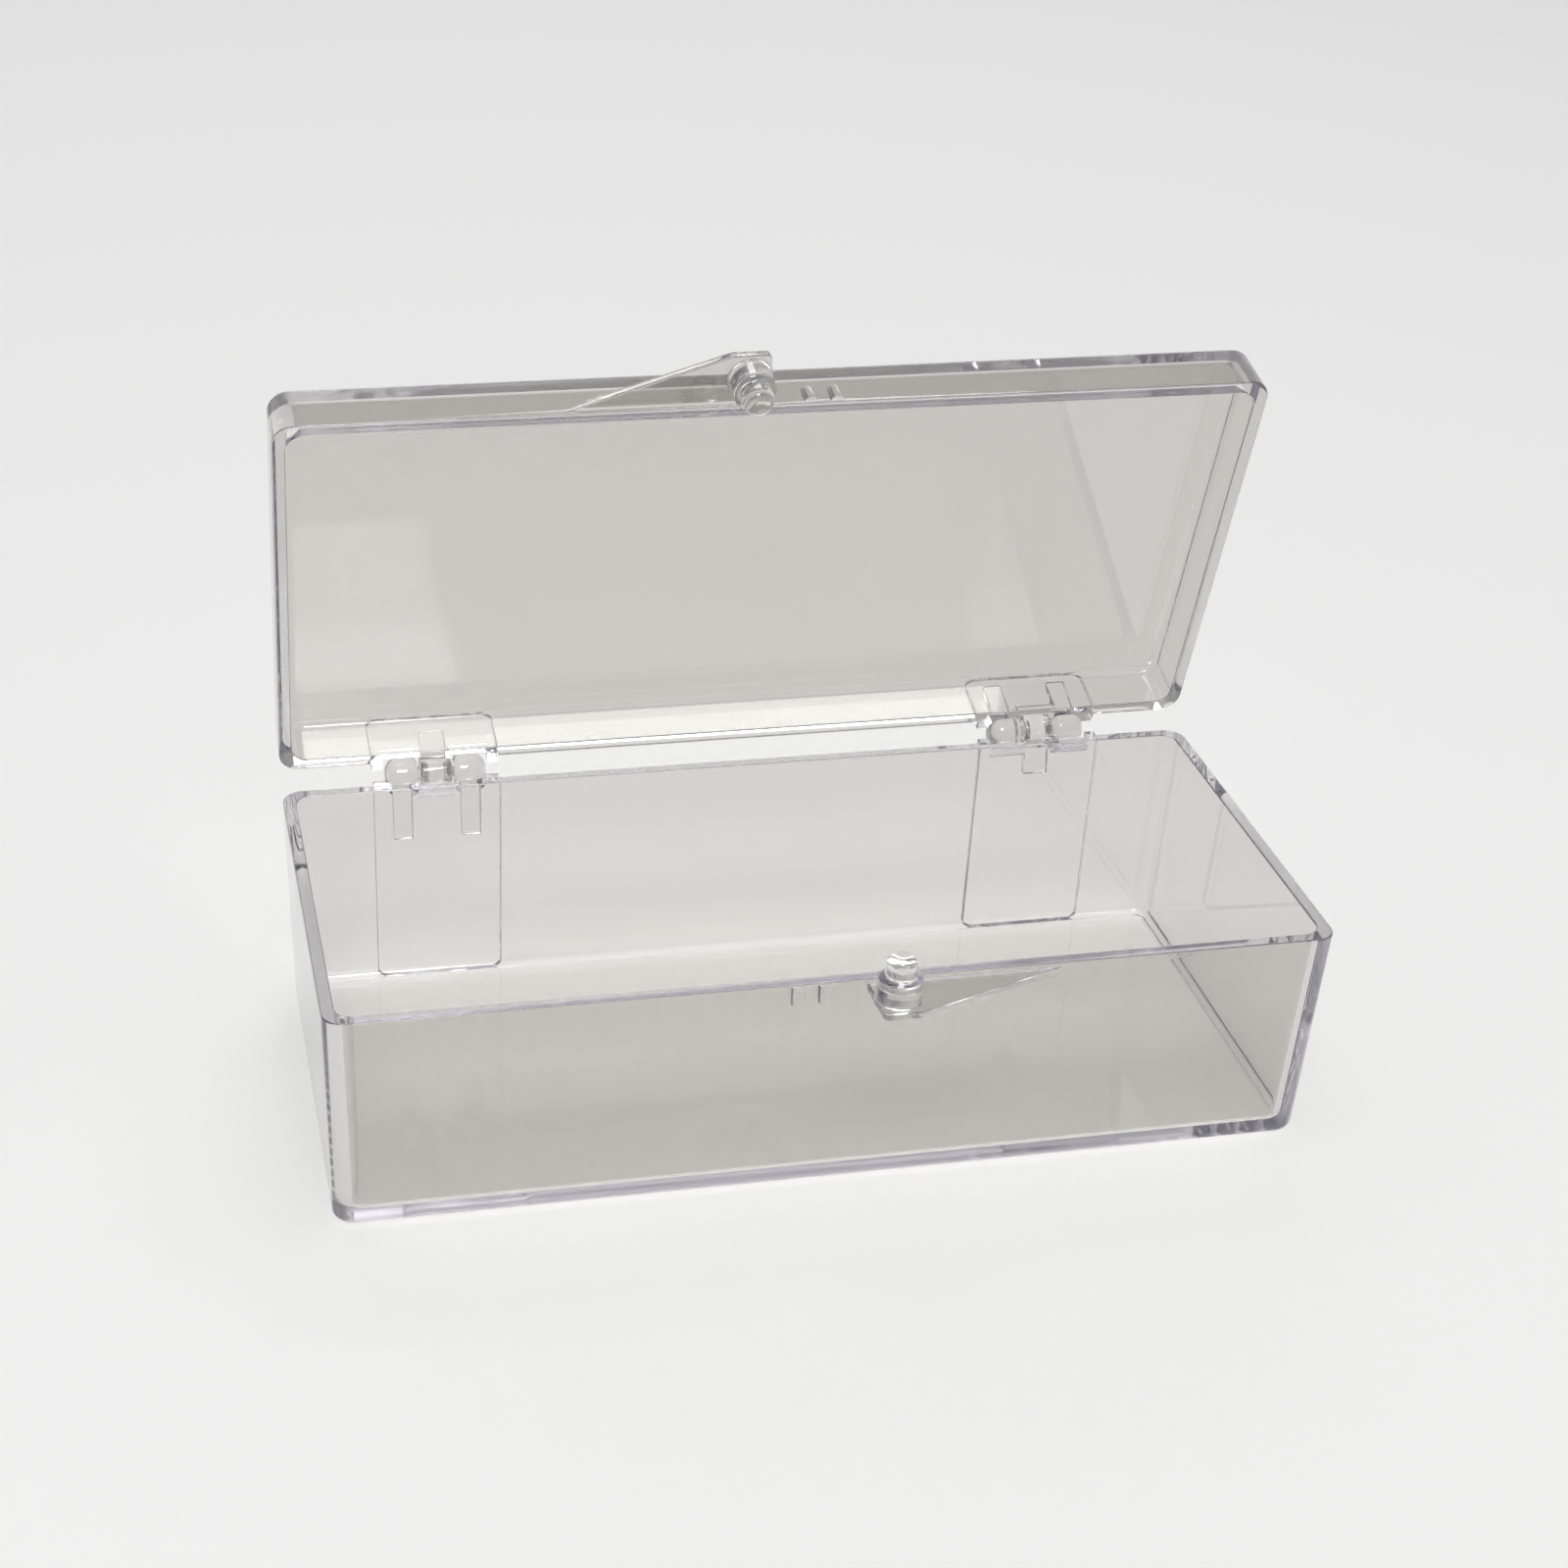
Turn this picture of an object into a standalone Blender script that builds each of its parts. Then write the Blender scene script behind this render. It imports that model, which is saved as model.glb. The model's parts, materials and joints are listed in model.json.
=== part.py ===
"""Clear hinged box for guitar picks: a deep base and a shallow lid, each one moulding.

Both halves are drawn with their rim on the plane z = 0 and their walls going down. The
lid is the same drawing with a smaller depth, turned half a turn about the Y axis, so each
half's latch post and hinge knuckles meet the other half's.
"""
import math

import bmesh
import bpy
from mathutils import Matrix, Vector

# Driving dimensions, in metres and degrees
LENGTH = 0.1050
WIDTH = 0.0461
BASE_HEIGHT = 0.0253
LID_DEPTH = 0.0069
WALL = 0.0014
GAP = 0.0003
OPEN_ANGLE = 76.0

# Shell: the sides lean in towards the floor by DRAFT per metre of height
DRAFT = 0.018
CORNER_RADIUS = 0.0022
INNER_CORNER_RADIUS = 0.0018
FOOT_RADIUS = 0.0011
FILLET_RADIUS = 0.0010
CUT_ABOVE = 0.0020

# Hinges, one at each end of the back wall
HINGE_X = 0.0352
AXIS_BEHIND = 0.0017
KNUCKLE_RADIUS = 0.0020
LUG_WIDTH = 0.0035
EAR_WIDTH = 0.0036
EAR_ROUND = 0.0010
LUG_ROUND = 0.0004
NIB_RADIUS = 0.0008
NIB_TIP_RADIUS = 0.0005
NIB_REACH = 0.0009
PAD_HALF_WIDTH = 0.0071
PAD_STEP = 0.0010
EAR_RIB = (0.0022, 0.0072)
LUG_RIB = (0.0029, 0.0046)
RIB_TOP_BEHIND_AXIS = 0.0010
RIB_END_DEPTH = 0.0005

# Latch at the middle of the front wall
LATCH_X = 0.0043
POST_OUT = 0.0030
POST_RADIUS = 0.00225
POST_TIP_RADIUS = 0.0019
POST_RISE = 0.0046
POST_ROUND = 0.0013
TAB_START = 0.0019
TAB_SLANT = 0.0003
TAB_REACH = 0.0057
TAB_FLAT = 0.0044
TAB_TAPER = 0.0164
TAB_THICKNESS = 0.0009
TAB_BELOW_RIM = 0.0005
TAB_CORNER = 0.0006
DETENT_X = 0.0038
DETENT_SPACING = 0.0028
DETENT_WIDTH = (0.0016, 0.0004)
DETENT_REACH = (0.0006, 0.0002)
DETENT_DEPTH = 0.0027

# How far an added shape reaches into the wall that it grows from
ROOT = 0.0004

# The axis lies behind the back wall, half a gap above each half's rim
AXIS_Y = WIDTH / 2 + AXIS_BEHIND
AXIS_Z = GAP / 2
EAR_OFFSET = LUG_WIDTH / 2 + GAP + EAR_WIDTH / 2
PAD_FACE = WIDTH / 2 + PAD_STEP

ROUND_SEGMENTS = 28
SMOOTH_ANGLE = math.radians(30)


def clear_scene():
    for item in list(bpy.data.objects):
        bpy.data.objects.remove(item, do_unlink=True)


def make_collection(name):
    collection = bpy.data.collections.new(name)
    bpy.context.scene.collection.children.link(collection)
    return collection


def clear_plastic(name, tint):
    material = bpy.data.materials.new(name)
    material.use_nodes = True
    shader = material.node_tree.nodes["Principled BSDF"]
    shader.inputs["Base Color"].default_value = (*tint, 1.0)
    shader.inputs["Roughness"].default_value = 0.06
    shader.inputs["Metallic"].default_value = 0.0
    shader.inputs["IOR"].default_value = 1.59
    shader.inputs["Transmission Weight"].default_value = 1.0
    return material


class Half:
    """One moulding: a shell, and the shapes that are joined to it or cut from it."""

    def __init__(self, name, depth, parent, placement, material, parts, cutters):
        self.name = name
        self.depth = depth
        self.parent = parent
        self.placement = placement
        self.material = material
        self.parts = parts
        self.cutters = cutters
        self.body = None

    def place(self, name, bm, collection):
        mesh = bpy.data.meshes.new(name)
        bmesh.ops.recalc_face_normals(bm, faces=bm.faces)
        bm.to_mesh(mesh)
        bm.free()
        item = bpy.data.objects.new(name, mesh)
        item.parent = self.parent
        item.matrix_basis = self.placement
        collection.objects.link(item)
        return item

    def start(self, bm):
        self.body = self.place(self.name, bm, self.parts)
        self.body.data.materials.append(self.material)

    def combine(self, name, bm, operation):
        tool = self.place(f"{self.name}_{name}", bm, self.cutters)
        tool.hide_render = True
        tool.display_type = "WIRE"
        modifier = self.body.modifiers.new(name, "BOOLEAN")
        modifier.operation = operation
        modifier.solver = "EXACT"
        modifier.object = tool

    def join(self, name, bm):
        self.combine(name, bm, "UNION")

    def cut(self, name, bm):
        self.combine(name, bm, "DIFFERENCE")


def block(low, high, lean=(0, 0, 0, 0), corner=0, foot=0, segments=4):
    """A box whose lower face is drawn in by lean on its -X, +X, -Y and +Y sides."""
    bm = bmesh.new()
    bmesh.ops.create_cube(bm, size=1.0)
    for vert in bm.verts:
        right, back, top = (value > 0 for value in vert.co)
        vert.co.x = high[0] - (0 if top else lean[1]) if right else low[0] + (0 if top else lean[0])
        vert.co.y = high[1] - (0 if top else lean[3]) if back else low[1] + (0 if top else lean[2])
        vert.co.z = high[2] if top else low[2]
    middle = (low[2] + high[2]) / 2
    if corner:
        uprights = [e for e in bm.edges if (e.verts[0].co.z > middle) != (e.verts[1].co.z > middle)]
        bmesh.ops.bevel(bm, geom=uprights, offset=corner, segments=segments, profile=0.5, affect="EDGES")
    if foot:
        lower = [e for e in bm.edges if all(v.co.z < middle for v in e.verts)]
        bmesh.ops.bevel(bm, geom=lower, offset=foot, segments=segments, profile=0.5, affect="EDGES")
    return bm


def barrel(x_from, x_to, centre_y, centre_z, radius, end_radius=None, rounding=0):
    """A round bar along X, which may narrow towards x_to, with its ends rounded."""
    bm = bmesh.new()
    length = x_to - x_from
    bmesh.ops.create_cone(bm, cap_ends=True, segments=ROUND_SEGMENTS, radius1=radius,
                          radius2=end_radius or radius, depth=abs(length))
    if rounding:
        rims = [e for e in bm.edges if abs(e.verts[0].co.z - e.verts[1].co.z) < abs(length) / 2]
        bmesh.ops.bevel(bm, geom=rims, offset=rounding, segments=4, profile=0.5, affect="EDGES")
    turn = Matrix.Rotation(math.copysign(math.pi / 2, length), 4, "Y")
    centre = Vector(((x_from + x_to) / 2, centre_y, centre_z))
    bmesh.ops.transform(bm, matrix=Matrix.Translation(centre) @ turn, verts=bm.verts)
    return bm


def add_shell(half):
    low = Vector((-LENGTH / 2, -WIDTH / 2, -half.depth))
    high = Vector((LENGTH / 2, WIDTH / 2, 0))
    drawn_in = DRAFT * half.depth
    half.start(block(low, high, [drawn_in] * 4, CORNER_RADIUS, FOOT_RADIUS))


def add_hinge_pads(half):
    """The back wall is thicker outwards, over its whole height, at each hinge."""
    for side in (-1, 1):
        low = (side * HINGE_X - PAD_HALF_WIDTH, 0, -half.depth)
        high = (side * HINGE_X + PAD_HALF_WIDTH, PAD_FACE, 0)
        lean = (0, 0, 0, DRAFT * half.depth)
        half.join("pad", block(low, high, lean, foot=FOOT_RADIUS))


def cut_cavity(half):
    low = Vector((-LENGTH / 2 + WALL, -WIDTH / 2 + WALL, -half.depth + WALL))
    high = Vector((LENGTH / 2 - WALL, WIDTH / 2 - WALL, CUT_ABOVE))
    drawn_in = DRAFT * half.depth
    half.cut("cavity", block(low, high, [drawn_in] * 4, INNER_CORNER_RADIUS, FILLET_RADIUS))


def cut_knuckle_clearance(half):
    """Round notches in the rim, where the other half's knuckles turn."""
    radius = KNUCKLE_RADIUS + GAP
    reach = LUG_WIDTH / 2 + GAP + GAP / 3
    half.cut("lug_notch", barrel(-HINGE_X - reach, -HINGE_X + reach, AXIS_Y, AXIS_Z, radius))
    near = LUG_WIDTH / 2 - GAP / 3
    far = EAR_OFFSET + EAR_WIDTH / 2 + GAP
    for side in (-1, 1):
        notch = barrel(HINGE_X + side * near, HINGE_X + side * far, AXIS_Y, AXIS_Z, radius)
        half.cut("ear_notch", notch)


def add_support_rib(half, middle, size):
    """A tapered rib under a knuckle, which ends above the underside's rounded edge."""
    width, depth = size
    low = (middle - width / 2, PAD_FACE - 2 * ROOT, -min(depth, half.depth - FOOT_RADIUS))
    high = (middle + width / 2, AXIS_Y + RIB_TOP_BEHIND_AXIS, -KNUCKLE_RADIUS / 2)
    lean = AXIS_Y + RIB_TOP_BEHIND_AXIS - PAD_FACE - RIB_END_DEPTH
    half.join("support_rib", block(low, high, (0, 0, 0, lean)))


def add_ears(half):
    """Two knuckles, each with a nib that points at the lug between them."""
    for side in (-1, 1):
        middle = -HINGE_X + side * EAR_OFFSET
        inner = middle - side * EAR_WIDTH / 2
        outer = middle + side * EAR_WIDTH / 2
        add_support_rib(half, middle, EAR_RIB)
        half.join("ear", barrel(inner, outer, AXIS_Y, AXIS_Z, KNUCKLE_RADIUS,
                                rounding=EAR_ROUND))
        nib = barrel(inner + side * ROOT, inner - side * NIB_REACH, AXIS_Y, AXIS_Z,
                     NIB_RADIUS, NIB_TIP_RADIUS)
        half.join("nib", nib)


def add_lug(half):
    """One knuckle with a dimple in each end for the other half's nibs."""
    add_support_rib(half, HINGE_X, LUG_RIB)
    lug = barrel(HINGE_X - LUG_WIDTH / 2, HINGE_X + LUG_WIDTH / 2, AXIS_Y, AXIS_Z, KNUCKLE_RADIUS,
                 rounding=LUG_ROUND)
    half.join("lug", lug)
    for side in (-1, 1):
        outside = HINGE_X + side * (LUG_WIDTH / 2 + GAP)
        inside = HINGE_X + side * (LUG_WIDTH / 2 - NIB_REACH)
        dimple = barrel(outside, inside, AXIS_Y, AXIS_Z, NIB_RADIUS + GAP, NIB_TIP_RADIUS + GAP)
        half.cut("dimple", dimple)


def outline_mesh(points, thickness, top):
    """A flat outline, made solid between top - thickness and top."""
    curve = bpy.data.curves.new("outline", "CURVE")
    curve.dimensions = "2D"
    curve.fill_mode = "BOTH"
    curve.extrude = thickness / 2
    spline = curve.splines.new("POLY")
    spline.points.add(len(points) - 1)
    for point, (x, y) in zip(spline.points, points):
        point.co = (x, y, 0, 1)
    spline.use_cyclic_u = True
    outline = bpy.data.objects.new("outline", curve)
    bpy.context.scene.collection.objects.link(outline)
    depsgraph = bpy.context.evaluated_depsgraph_get()
    mesh = bpy.data.meshes.new_from_object(outline.evaluated_get(depsgraph))
    bpy.data.objects.remove(outline)
    bm = bmesh.new()
    bm.from_mesh(mesh)
    bmesh.ops.remove_doubles(bm, verts=bm.verts, dist=0.000001)
    bmesh.ops.translate(bm, verts=bm.verts, vec=(0, 0, top - thickness / 2))
    return bm


def add_latch_tab(half):
    """A thumb tab level with the rim: blunt at its start, and tapering back to the wall."""
    wall = -WIDTH / 2
    inside = wall + 2 * ROOT
    bend = TAB_START + TAB_FLAT
    front = wall - TAB_REACH
    slope = TAB_TAPER / TAB_REACH
    tip = TAB_START + TAB_SLANT
    points = [(TAB_START, inside), (tip, front + TAB_CORNER),
              (tip + TAB_CORNER * 0.3, front + TAB_CORNER * 0.3),
              (tip + TAB_CORNER, front), (bend, front),
              (bend + TAB_TAPER + 2 * ROOT * slope, inside)]
    half.join("latch_tab", outline_mesh(points, TAB_THICKNESS, -TAB_BELOW_RIM))


def add_latch_post(half):
    """A tapered post that stands on the tab and reaches past the rim."""
    foot = -TAB_BELOW_RIM - TAB_THICKNESS / 2
    height = POST_RISE - foot
    bm = bmesh.new()
    bmesh.ops.create_cone(bm, cap_ends=True, segments=ROUND_SEGMENTS, radius1=POST_RADIUS,
                          radius2=POST_TIP_RADIUS, depth=height)
    top_rim = [e for e in bm.edges if all(v.co.z > 0 for v in e.verts)]
    bmesh.ops.bevel(bm, geom=top_rim, offset=POST_ROUND, segments=5, profile=0.5, affect="EDGES")
    centre = Vector((LATCH_X, -WIDTH / 2 - POST_OUT, foot + height / 2))
    bmesh.ops.translate(bm, verts=bm.verts, vec=centre)
    half.join("latch_post", bm)


def add_latch_detents(half):
    """Two small tapered ribs that the other half's post snaps between."""
    wall = -WIDTH / 2
    for side in (-1, 1):
        middle = -DETENT_X + side * DETENT_SPACING / 2
        wide, narrow = DETENT_WIDTH
        reach, end_reach = DETENT_REACH
        low = (middle - wide / 2, wall - reach, -DETENT_DEPTH)
        high = (middle + wide / 2, wall + ROOT, 0)
        pinch = (wide - narrow) / 2
        half.join("detent", block(low, high, (pinch, pinch, reach - end_reach, 0)))


def build_half(half):
    add_shell(half)
    add_hinge_pads(half)
    cut_cavity(half)
    cut_knuckle_clearance(half)
    add_ears(half)
    add_lug(half)
    add_latch_tab(half)
    add_latch_post(half)
    add_latch_detents(half)
    half.body.data.set_sharp_from_angle(angle=SMOOTH_ANGLE)


def main():
    clear_scene()
    parts = make_collection("pick_box")
    cutters = make_collection("pick_box_tools")
    base_plastic = clear_plastic("base_plastic", (0.86, 0.86, 0.85))
    lid_plastic = clear_plastic("lid_plastic", (0.84, 0.84, 0.83))

    base_at = Matrix.Translation((0, 0, BASE_HEIGHT))
    base = Half("base", BASE_HEIGHT, None, base_at, base_plastic, parts, cutters)
    build_half(base)

    hinge = bpy.data.objects.new("lid_hinge_axis", None)
    hinge.location = (0, AXIS_Y, BASE_HEIGHT + AXIS_Z)
    hinge.rotation_euler = (math.radians(-OPEN_ANGLE), 0, 0)
    parts.objects.link(hinge)
    lid_at = Matrix.Translation((0, -AXIS_Y, AXIS_Z)) @ Matrix.Rotation(math.pi, 4, "Y")
    lid = Half("lid", LID_DEPTH, hinge, lid_at, lid_plastic, parts, cutters)
    build_half(lid)


main()
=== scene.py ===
"""The looks of the clear hinged pick box: two polished polystyrene mouldings.

Each moulding is drawn like its CAD node, with its rim on the plane z = 0 and its walls going
down, but with soft rims, round fillets, domed knuckles and a fine mesh. The lid is the same
drawing with a smaller depth, turned over and opened about the hinge.
"""
import json
import math

import bmesh
import bpy
from mathutils import Matrix, Vector


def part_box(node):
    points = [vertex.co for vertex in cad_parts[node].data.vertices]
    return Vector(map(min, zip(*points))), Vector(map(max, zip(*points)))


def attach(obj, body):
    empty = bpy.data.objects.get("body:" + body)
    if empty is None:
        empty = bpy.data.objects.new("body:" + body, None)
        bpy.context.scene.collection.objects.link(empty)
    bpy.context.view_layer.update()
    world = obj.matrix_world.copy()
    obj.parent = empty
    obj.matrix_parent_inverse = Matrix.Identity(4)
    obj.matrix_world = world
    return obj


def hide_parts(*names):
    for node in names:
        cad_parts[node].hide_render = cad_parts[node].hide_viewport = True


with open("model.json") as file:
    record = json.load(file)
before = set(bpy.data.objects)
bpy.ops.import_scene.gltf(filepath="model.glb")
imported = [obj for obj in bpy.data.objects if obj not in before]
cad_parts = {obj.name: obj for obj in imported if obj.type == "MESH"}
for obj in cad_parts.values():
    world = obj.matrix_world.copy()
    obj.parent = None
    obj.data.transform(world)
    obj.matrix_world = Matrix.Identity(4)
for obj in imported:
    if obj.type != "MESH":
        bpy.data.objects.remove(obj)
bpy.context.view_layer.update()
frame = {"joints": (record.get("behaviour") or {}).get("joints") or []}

# Places that come from the frame, in metres
HINGE = next(joint for joint in frame["joints"] if joint["name"] == "lid_hinge")
GAP = 0.0003
AXIS_Z = GAP / 2
AXIS_Y = HINGE["pos_m"][1]
BASE_HEIGHT = HINGE["pos_m"][2] - AXIS_Z
OPEN_ANGLE = -math.radians(HINGE["range_deg"][0])
AXIS_BEHIND = 0.0017
HALF_LENGTH = (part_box("base")[1].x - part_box("base")[0].x) / 2
HALF_WIDTH = AXIS_Y - AXIS_BEHIND
LID_DEPTH = 0.0069

# Shell
WALL = 0.0014
DRAFT = 0.018
CORNER_RADIUS = 0.0022
INNER_CORNER_RADIUS = 0.0018
FOOT_RADIUS = 0.0011
FILLET_RADIUS = 0.0010
RIM_SOFT = 0.00016
CUT_ABOVE = 0.0020
STEP_SOFT = 0.00010

# Hinges
HINGE_X = 0.0352
KNUCKLE_RADIUS = 0.0020
LUG_WIDTH = 0.0035
LUG_ROUND = 0.0004
EAR_WIDTH = 0.0036
EAR_ROUND = 0.0015
EAR_OFFSET = LUG_WIDTH / 2 + GAP + EAR_WIDTH / 2
NIB_RADIUS = 0.0008
NIB_TIP_RADIUS = 0.0005
NIB_REACH = 0.0009
PAD_HALF_WIDTH = 0.0071
PAD_STEP = 0.0010
PAD_FACE = HALF_WIDTH + PAD_STEP
EAR_RIB = (0.0022, 0.0072)
LUG_RIB = (0.0029, 0.0046)
RIB_TOP_BEHIND_AXIS = 0.0010
RIB_END_DEPTH = 0.0005
RIB_SOFT = 0.0002

# Latch
LATCH_X = 0.0043
POST_OUT = 0.0030
POST_RADIUS = 0.00225
POST_SHOULDER = (0.0018, 0.0027)
POST_TIP_RADIUS = 0.0016
POST_RISE = 0.0046
POST_ROUND = 0.0012
POST_FOOT = 0.0002
TAB_START = 0.0019
TAB_SLANT = 0.0003
TAB_REACH = 0.0057
TAB_FLAT = 0.0044
TAB_TAPER = 0.0164
TAB_THICKNESS = 0.0009
TAB_BELOW_RIM = 0.0005
TAB_CORNER = 0.0006
TAB_BEND = 0.0015
TAB_SOFT = 0.00020
DETENT_X = 0.0038
DETENT_SPACING = 0.0028
DETENT_RADIUS = 0.0008
DETENT_SUNK = 0.0002
DETENT_TIP_RADIUS = 0.0007
DETENT_ROUND = 0.0006
DETENT_DEPTH = 0.0027

# Plastic
REFRACTIVE_INDEX = 1.59
RIPPLE_SCALE = 55
RIPPLE_HEIGHT = 0.00003
SCUFF_SCALE = (90, 700, 900)
POLISHED = 0.012
SCUFFED = 0.060
EDGE_COLOUR = (0.72, 0.71, 0.78, 1)
EDGE_DENSITY = 28

# How far an added shape reaches into the wall that it grows from
ROOT = 0.0004
SMALLEST_RADIUS = 0.00004
RIGHT_ANGLE = math.pi / 2
SHARP_ANGLE = math.radians(31)


def quarter(steps):
    """The angles of a quarter turn, from 0 to 90 degrees."""
    return [RIGHT_ANGLE * step / steps for step in range(steps + 1)]


# Outlines and lofts

def side_normal(start, end):
    """The normal of an anticlockwise outline's side that points inwards."""
    along = (end - start).normalized()
    return Vector((-along.y, along.x))


def rounded_outline(corners, inset):
    """Points of an outline of (x, y, radius, segments) corners, with its sides moved inwards."""
    places = [Vector(corner[:2]) for corner in corners]
    count = len(places)
    moved = []
    for index, place in enumerate(places):
        before = side_normal(places[index - 1], place)
        after = side_normal(place, places[(index + 1) % count])
        moved.append(place + inset * (before + after) / (1 + before.dot(after)))
    points = []
    for index, place in enumerate(moved):
        along = (place - moved[index - 1]).normalized()
        ahead = (moved[(index + 1) % count] - place).normalized()
        turn = math.atan2(along.x * ahead.y - along.y * ahead.x, along.dot(ahead))
        side = math.copysign(1, turn)
        radius = max(corners[index][2] - side * inset, SMALLEST_RADIUS)
        centre = place - along * radius * math.tan(abs(turn) / 2)
        centre += Vector((-along.y, along.x)) * side * radius
        spoke = Vector((along.y, -along.x)) * side * radius
        segments = corners[index][3]
        for step in range(segments + 1):
            points.append(centre + Matrix.Rotation(turn * step / segments, 2) @ spoke)
    return points


def loft(rings):
    """A closed mesh through rings of equal point counts, capped at both ends."""
    bm = bmesh.new()
    loops = [[bm.verts.new(point) for point in ring] for ring in rings]
    for lower, upper in zip(loops, loops[1:]):
        for index in range(len(lower)):
            following = (index + 1) % len(lower)
            bm.faces.new((lower[index], lower[following], upper[following], upper[index]))
    bm.faces.new(list(reversed(loops[0])))
    bm.faces.new(loops[-1])
    return bm


def flat_loft(layers):
    """A loft through (outline, z) layers."""
    return loft([[(point.x, point.y, z) for point in outline] for outline, z in layers])


def turned(profile, origin, axis="Z", segments=48):
    """A solid turned about an axis through origin; the profile is (distance along, radius)."""
    turn = {"Z": Matrix.Identity(3), "X": Matrix.Rotation(RIGHT_ANGLE, 3, "Y")}[axis]
    rings = []
    for along, radius in profile:
        angles = [math.tau * step / segments for step in range(segments)]
        ring = [Vector((radius * math.cos(a), radius * math.sin(a), along)) for a in angles]
        rings.append([turn @ point + Vector(origin) for point in ring])
    return loft(rings)


def domed(start, end, radius, end_radius, rounding, steps=8):
    """A profile from start to end that narrows to end_radius and rounds over at the end."""
    way = math.copysign(1, end - start)
    profile = [(start, radius)]
    for angle in quarter(steps):
        along = end - way * rounding * (1 - math.sin(angle))
        profile.append((along, end_radius - rounding * (1 - math.cos(angle))))
    return profile if way > 0 else profile[::-1]


def soft_block(low, high, lean):
    """A box with rounded edges whose lower face is drawn in by lean on its +Y side."""
    bm = bmesh.new()
    bmesh.ops.create_cube(bm, size=1.0)
    for vert in bm.verts:
        right, back, top = (value > 0 for value in vert.co)
        vert.co = (high[0] if right else low[0], high[1] if back else low[1],
                   high[2] if top else low[2])
        if back and not top:
            vert.co.y -= lean
    bmesh.ops.bevel(bm, geom=list(bm.edges), offset=RIB_SOFT, segments=3, profile=0.5,
                    affect="EDGES", clamp_overlap=True)
    return bm


# Mouldings

class Moulding:
    """A mesh in the making: a body, then shapes joined to it or cut from it."""

    def __init__(self, name, depth):
        self.name = name
        self.depth = depth
        self.body = None

    def place(self, name, bm):
        mesh = bpy.data.meshes.new(name)
        bmesh.ops.recalc_face_normals(bm, faces=bm.faces)
        bm.to_mesh(mesh)
        bm.free()
        item = bpy.data.objects.new(name, mesh)
        bpy.context.scene.collection.objects.link(item)
        return item

    def combine(self, bm, operation):
        tool = self.place("tool", bm)
        modifier = self.body.modifiers.new("combine", "BOOLEAN")
        modifier.operation = operation
        modifier.solver = "EXACT"
        modifier.object = tool

    def join(self, bm):
        self.combine(bm, "UNION")

    def cut(self, bm):
        self.combine(bm, "DIFFERENCE")

    def settle(self):
        """Applies the joins and cuts and removes their tools."""
        depsgraph = bpy.context.evaluated_depsgraph_get()
        mesh = bpy.data.meshes.new_from_object(self.body.evaluated_get(depsgraph))
        for modifier in list(self.body.modifiers):
            bpy.data.objects.remove(modifier.object)
        self.body.modifiers.clear()
        self.body.data = mesh
        mesh.name = self.name


def box_corners(inset, radius):
    """The four corners of the box in plan, from its front left one."""
    right = HALF_LENGTH - inset
    back = HALF_WIDTH - inset
    return [(x, y, radius, 10) for x, y in
            ((-right, -back), (right, -back), (right, back), (-right, back))]


def outer_outline(z, inset):
    """The outside of the walls at a height, with a step outwards at each hinge."""
    corners = box_corners(-DRAFT * z, CORNER_RADIUS)
    back = corners[-1][1]
    for middle in (HINGE_X, -HINGE_X):
        for side, y in ((1, back), (1, back + PAD_STEP), (-1, back + PAD_STEP), (-1, back)):
            corners.insert(-1, (middle + side * PAD_HALF_WIDTH, y, STEP_SOFT, 3))
    return rounded_outline(corners, inset)


def inner_outline(z, inset):
    return rounded_outline(box_corners(WALL - DRAFT * z, INNER_CORNER_RADIUS), inset)


def outside(depth):
    """A half without its cavity, from the flat underside up to the rim."""
    layers = []
    for angle in quarter(8):
        z = -depth + FOOT_RADIUS * (1 - math.cos(angle))
        layers.append((outer_outline(z, FOOT_RADIUS * (1 - math.sin(angle))), z))
    for angle in quarter(3):
        z = -RIM_SOFT * (1 - math.sin(angle))
        layers.append((outer_outline(z, RIM_SOFT * (1 - math.cos(angle))), z))
    return flat_loft(layers)


def cavity(depth):
    """The space inside a half, which widens over the rim's soft inner edge."""
    layers = []
    for angle in quarter(10):
        z = WALL - depth + FILLET_RADIUS * (1 - math.cos(angle))
        layers.append((inner_outline(z, FILLET_RADIUS * (1 - math.sin(angle))), z))
    for angle in quarter(3):
        z = -RIM_SOFT * (1 - math.sin(angle))
        layers.append((inner_outline(z, -RIM_SOFT * (1 - math.cos(angle))), z))
    layers.append((inner_outline(0, -RIM_SOFT), CUT_ABOVE))
    return flat_loft(layers)


def cut_knuckle_clearance(half):
    """Round notches in the rim, where the other half's knuckles turn."""
    radius = KNUCKLE_RADIUS + GAP
    reach = LUG_WIDTH / 2 + GAP + GAP / 3
    half.cut(turned([(-reach, radius), (reach, radius)], (-HINGE_X, AXIS_Y, AXIS_Z), "X"))
    near = LUG_WIDTH / 2 - GAP / 3
    far = EAR_OFFSET + EAR_WIDTH / 2 + GAP
    for ends in ((-far, -near), (near, far)):
        profile = [(along, radius) for along in ends]
        half.cut(turned(profile, (HINGE_X, AXIS_Y, AXIS_Z), "X"))


def add_support_rib(half, middle, size):
    """A tapered rib under a knuckle, which ends above the underside's rounded edge."""
    width, depth = size
    low = (middle - width / 2, PAD_FACE - 2 * ROOT, -min(depth, half.depth - FOOT_RADIUS))
    high = (middle + width / 2, AXIS_Y + RIB_TOP_BEHIND_AXIS, -KNUCKLE_RADIUS / 2)
    lean = AXIS_Y + RIB_TOP_BEHIND_AXIS - PAD_FACE - RIB_END_DEPTH
    half.join(soft_block(low, high, lean))


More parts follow.
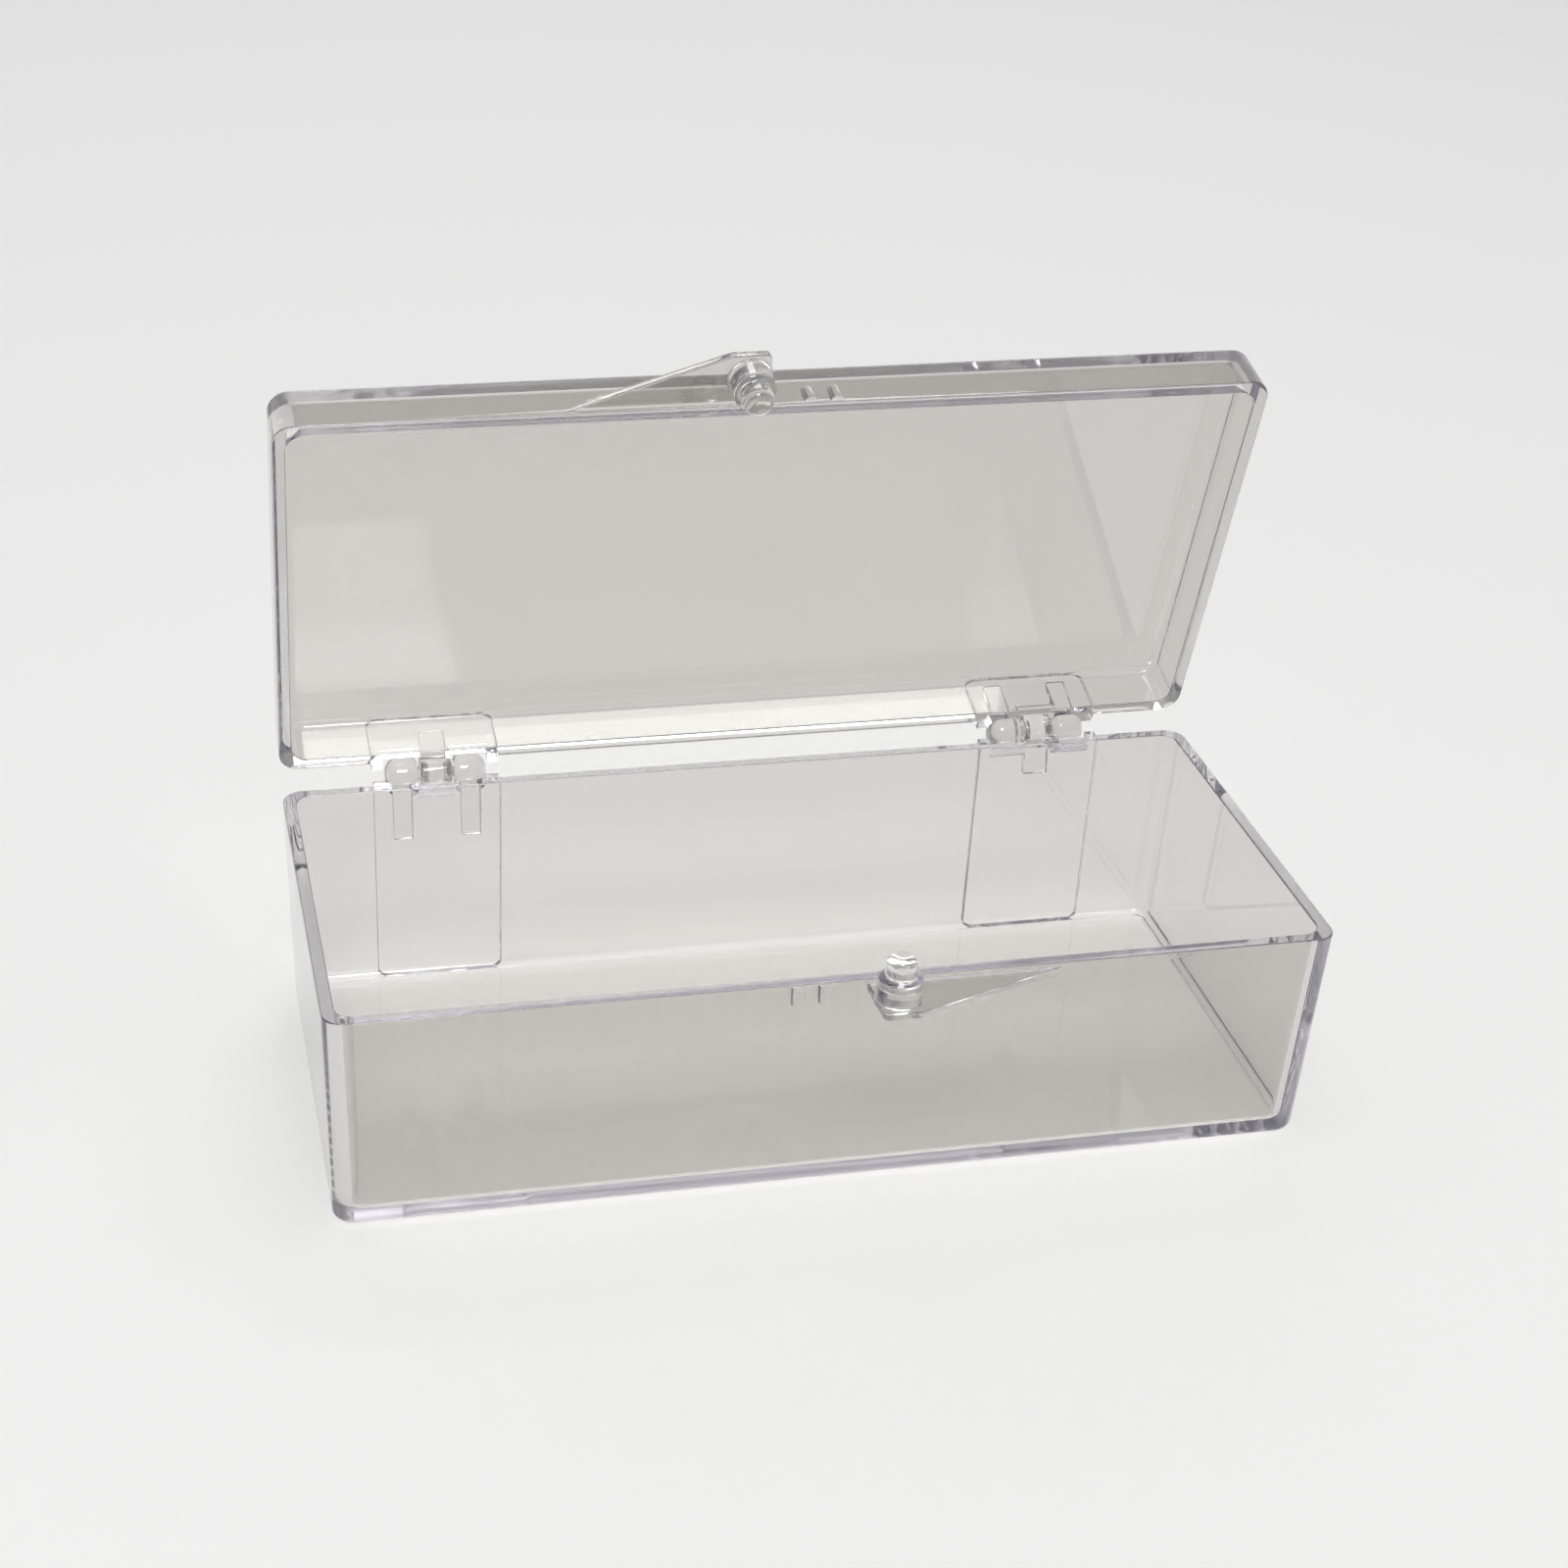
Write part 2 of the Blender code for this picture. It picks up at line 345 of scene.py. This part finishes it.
def add_ears(half):
    """Two domed knuckles, each with a nib that points at the lug between them."""
    for side in (-1, 1):
        middle = -HINGE_X + side * EAR_OFFSET
        add_support_rib(half, middle, EAR_RIB)
        tip = EAR_WIDTH / 2
        outer_end = domed(0, side * tip, KNUCKLE_RADIUS, KNUCKLE_RADIUS, EAR_ROUND)
        inner_end = domed(0, -side * tip, KNUCKLE_RADIUS, KNUCKLE_RADIUS, EAR_ROUND / 2)
        profile = inner_end[:-1] + outer_end[1:] if side > 0 else outer_end[:-1] + inner_end[1:]
        half.join(turned(profile, (middle, AXIS_Y, AXIS_Z), "X"))
        nib = domed(-side * (tip - 2 * ROOT), -side * (tip + NIB_REACH), NIB_RADIUS,
                    NIB_TIP_RADIUS, NIB_TIP_RADIUS / 2, 3)
        half.join(turned(nib, (middle, AXIS_Y, AXIS_Z), "X", 24))


def add_lug(half):
    """One knuckle with a dimple in each end for the other half's nibs."""
    add_support_rib(half, HINGE_X, LUG_RIB)
    tip = LUG_WIDTH / 2
    left = domed(0, -tip, KNUCKLE_RADIUS, KNUCKLE_RADIUS, LUG_ROUND, 4)
    right = domed(0, tip, KNUCKLE_RADIUS, KNUCKLE_RADIUS, LUG_ROUND, 4)
    centre = (HINGE_X, AXIS_Y, AXIS_Z)
    half.join(turned(left[:-1] + right[1:], centre, "X"))
    for side in (-1, 1):
        mouth = (side * (tip + GAP), NIB_RADIUS + GAP)
        bottom = (side * (tip - NIB_REACH), NIB_TIP_RADIUS + GAP)
        half.cut(turned(sorted((mouth, bottom)), centre, "X", 24))


def add_latch_tab(half):
    """A thumb tab level with the rim: blunt at its start, and tapering back to the wall."""
    inside = -HALF_WIDTH + 2 * ROOT
    front = -HALF_WIDTH - TAB_REACH
    tip = TAB_START + TAB_SLANT
    bend = TAB_START + TAB_FLAT
    end = bend + TAB_TAPER * (1 + 2 * ROOT / TAB_REACH)
    corners = [(TAB_START, inside, ROOT / 2, 2), (tip, front, TAB_CORNER, 5),
               (bend, front, TAB_BEND, 5), (end, inside, ROOT / 2, 2)]
    top = -TAB_BELOW_RIM
    layers = []
    for angle in quarter(3):
        inset = TAB_SOFT * (1 - math.sin(angle))
        layers.append((inset, top - TAB_THICKNESS + TAB_SOFT * (1 - math.cos(angle))))
    for angle in quarter(3):
        inset = TAB_SOFT * (1 - math.cos(angle))
        layers.append((inset, top - TAB_SOFT * (1 - math.sin(angle))))
    half.join(flat_loft([(rounded_outline(corners, inset), z) for inset, z in layers]))


def add_latch_post(half):
    """A post that stands on the tab, narrows at a soft shoulder and ends in a dome."""
    top = -TAB_BELOW_RIM
    profile = [(top - TAB_THICKNESS / 2, POST_RADIUS + POST_FOOT)]
    for angle in quarter(3):
        along = top + POST_FOOT * (1 - math.cos(angle))
        profile.append((along, POST_RADIUS + POST_FOOT * (1 - math.sin(angle))))
    start, end = POST_SHOULDER
    for step in range(9):
        ease = (1 - math.cos(math.pi * step / 8)) / 2
        along = start + (end - start) * step / 8
        profile.append((along, POST_RADIUS + (POST_TIP_RADIUS - POST_RADIUS) * ease))
    profile += domed(end, POST_RISE, POST_TIP_RADIUS, POST_TIP_RADIUS, POST_ROUND, 10)[1:]
    half.join(turned(profile, (LATCH_X, -HALF_WIDTH - POST_OUT, 0)))


def add_latch_detents(half):
    """Two small tapered ribs that the other half's post snaps between."""
    for side in (-1, 1):
        middle = -DETENT_X + side * DETENT_SPACING / 2
        profile = domed(-RIM_SOFT, -DETENT_DEPTH, DETENT_RADIUS, DETENT_TIP_RADIUS,
                        DETENT_ROUND, 6)
        half.join(turned(profile, (middle, -HALF_WIDTH + DETENT_SUNK, 0), segments=24))


def mould(name, depth, placement, material):
    half = Moulding(name, depth)
    half.body = half.place(name, outside(depth))
    half.cut(cavity(depth))
    cut_knuckle_clearance(half)
    add_ears(half)
    add_lug(half)
    add_latch_tab(half)
    add_latch_post(half)
    add_latch_detents(half)
    half.settle()
    mesh = half.body.data
    mesh.transform(placement)
    mesh.shade_smooth()
    mesh.set_sharp_from_angle(angle=SHARP_ANGLE)
    mesh.materials.clear()
    mesh.materials.append(material)
    weighted = half.body.modifiers.new("weighted_normals", "WEIGHTED_NORMAL")
    weighted.keep_sharp = True
    weighted.weight = 90
    return half.body


# Materials

def node(tree, kind, **settings):
    made = tree.nodes.new(kind)
    for name, value in settings.items():
        setattr(made, name, value)
    return made


def clear_styrene(name, tint, shadow, seed):
    """Polished clear polystyrene: faint flow ripples, mould haze and fine scuffs.

    The edges, where light runs far through the plastic, look slightly violet. The shadow is
    the part of the light that each face lets through onto whatever lies behind it.
    """
    material = bpy.data.materials.new(name)
    material.use_nodes = True
    tree = material.node_tree
    link = tree.links.new
    shader = tree.nodes["Principled BSDF"]
    output = tree.nodes["Material Output"]
    shader.inputs["Base Color"].default_value = (*tint, 1)
    shader.inputs["IOR"].default_value = REFRACTIVE_INDEX
    shader.inputs["Transmission Weight"].default_value = 1.0

    place = node(tree, "ShaderNodeTexCoord")
    ripple = node(tree, "ShaderNodeTexNoise")
    ripple.inputs["Scale"].default_value = RIPPLE_SCALE + seed
    ripple.inputs["Detail"].default_value = 2.0
    link(place.outputs["Object"], ripple.inputs["Vector"])

    stretch = node(tree, "ShaderNodeMapping")
    stretch.inputs["Scale"].default_value = SCUFF_SCALE
    stretch.inputs["Rotation"].default_value = (0.2, 0.1, 0.5 + seed)
    link(place.outputs["Object"], stretch.inputs["Vector"])
    scuff = node(tree, "ShaderNodeTexNoise")
    scuff.inputs["Scale"].default_value = 1.0
    scuff.inputs["Detail"].default_value = 5.0
    link(stretch.outputs["Vector"], scuff.inputs["Vector"])

    haze = node(tree, "ShaderNodeMapRange")
    haze.inputs["From Min"].default_value = 0.45
    haze.inputs["From Max"].default_value = 0.75
    haze.inputs["To Min"].default_value = POLISHED
    haze.inputs["To Max"].default_value = SCUFFED
    link(scuff.outputs["Fac"], haze.inputs["Value"])
    link(haze.outputs["Result"], shader.inputs["Roughness"])

    wave = node(tree, "ShaderNodeBump")
    wave.inputs["Strength"].default_value = 0.5
    wave.inputs["Distance"].default_value = RIPPLE_HEIGHT
    link(ripple.outputs["Fac"], wave.inputs["Height"])
    link(wave.outputs["Normal"], shader.inputs["Normal"])

    edge = node(tree, "ShaderNodeVolumeAbsorption")
    edge.inputs["Color"].default_value = EDGE_COLOUR
    edge.inputs["Density"].default_value = EDGE_DENSITY
    link(edge.outputs["Volume"], output.inputs["Volume"])

    path = node(tree, "ShaderNodeLightPath")
    clear = node(tree, "ShaderNodeBsdfTransparent")
    clear.inputs["Color"].default_value = (shadow, shadow, shadow, 1)
    mix = node(tree, "ShaderNodeMixShader")
    link(path.outputs["Is Shadow Ray"], mix.inputs["Fac"])
    link(shader.outputs["BSDF"], mix.inputs[1])
    link(clear.outputs["BSDF"], mix.inputs[2])
    link(mix.outputs["Shader"], output.inputs["Surface"])
    return material


def pale_floor():
    material = bpy.data.materials.new("pale_floor")
    material.use_nodes = True
    shader = material.node_tree.nodes["Principled BSDF"]
    shader.inputs["Base Color"].default_value = (0.90, 0.90, 0.89, 1)
    shader.inputs["Roughness"].default_value = 0.85
    bm = bmesh.new()
    bmesh.ops.create_grid(bm, x_segments=1, y_segments=1, size=2.5)
    mesh = bpy.data.meshes.new("floor")
    bm.to_mesh(mesh)
    bm.free()
    mesh.materials.append(material)
    floor = bpy.data.objects.new("floor", mesh)
    floor.location.z = -0.0001
    bpy.context.scene.collection.objects.link(floor)


# Light and camera

def soft_sky(side, above, behind):
    """A studio with its own strengths at the sides, overhead and low behind the object."""
    world = bpy.data.worlds.new("studio")
    bpy.context.scene.world = world
    world.use_nodes = True
    tree = world.node_tree
    place = node(tree, "ShaderNodeTexCoord")
    split = node(tree, "ShaderNodeSeparateXYZ")
    tree.links.new(place.outputs["Generated"], split.inputs["Vector"])
    glow = {}
    steps = (("Z", 0.60, 0.95, side, above), ("Y", 0.55, 1.00, 0, behind))
    for axis, start, end, low, high in steps:
        glow[axis] = node(tree, "ShaderNodeMapRange", interpolation_type="SMOOTHSTEP")
        glow[axis].inputs["From Min"].default_value = start
        glow[axis].inputs["From Max"].default_value = end
        glow[axis].inputs["To Min"].default_value = low
        glow[axis].inputs["To Max"].default_value = high
        tree.links.new(split.outputs[axis], glow[axis].inputs["Value"])
    total = node(tree, "ShaderNodeMath", operation="ADD")
    tree.links.new(glow["Z"].outputs["Result"], total.inputs[0])
    tree.links.new(glow["Y"].outputs["Result"], total.inputs[1])
    background = tree.nodes["Background"]
    background.inputs["Color"].default_value = (0.985, 0.99, 1.0, 1)
    tree.links.new(total.outputs["Value"], background.inputs["Strength"])


def area_light(name, place, target, size, power):
    light = bpy.data.lights.new(name, "AREA")
    light.shape = "RECTANGLE"
    light.size, light.size_y = size
    light.energy = power
    item = bpy.data.objects.new(name, light)
    item.location = place
    item.rotation_euler = (Vector(target) - Vector(place)).to_track_quat("-Z", "Y").to_euler()
    bpy.context.scene.collection.objects.link(item)


def add_camera():
    camera = bpy.data.cameras.new("camera")
    camera.sensor_width = 36.0
    camera.lens = 61.7
    camera.shift_x = 0.0909
    camera.shift_y = 0.0829
    camera.clip_start = 0.01
    item = bpy.data.objects.new("camera", camera)
    item.location = (-0.0687, -0.2371, 0.1731)
    item.rotation_euler = [math.radians(angle) for angle in (57.81, -1.75, -11.34)]
    bpy.context.scene.collection.objects.link(item)
    bpy.context.scene.camera = item


def main():
    add_camera()
    pale_floor()
    soft_sky(0.36, 0.62, 0.8)
    area_light("key_softbox", (-0.12, -0.66, 0.90), (0, 0, 0.02), (0.45, 0.35), 5.1)
    area_light("back_softbox", (0.10, 0.62, 1.00), (0, 0, 0.02), (0.60, 0.22), 2.2)

    base_plastic = clear_styrene("base_styrene", (0.775, 0.767, 0.742), 0.84, 0)
    lid_plastic = clear_styrene("lid_styrene", (0.712, 0.703, 0.668), 0.92, 3)
    base_at = Matrix.Translation((0, 0, BASE_HEIGHT))
    base = mould("base_moulding", BASE_HEIGHT, base_at, base_plastic)
    opened = Matrix.Translation(HINGE["pos_m"]) @ Matrix.Rotation(-OPEN_ANGLE, 4, "X")
    turned_over = Matrix.Translation((0, -AXIS_Y, AXIS_Z)) @ Matrix.Rotation(math.pi, 4, "Y")
    lid = mould("lid_moulding", LID_DEPTH, opened @ turned_over, lid_plastic)
    for piece, name in ((base, "base"), (lid, "lid")):
        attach(piece, name)
        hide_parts(name)

    scene = bpy.context.scene
    scene.view_settings.view_transform = "Standard"
    scene.cycles.max_bounces = 80
    scene.cycles.transmission_bounces = 80
    scene.cycles.glossy_bounces = 80
    scene.cycles.transparent_max_bounces = 32


main()
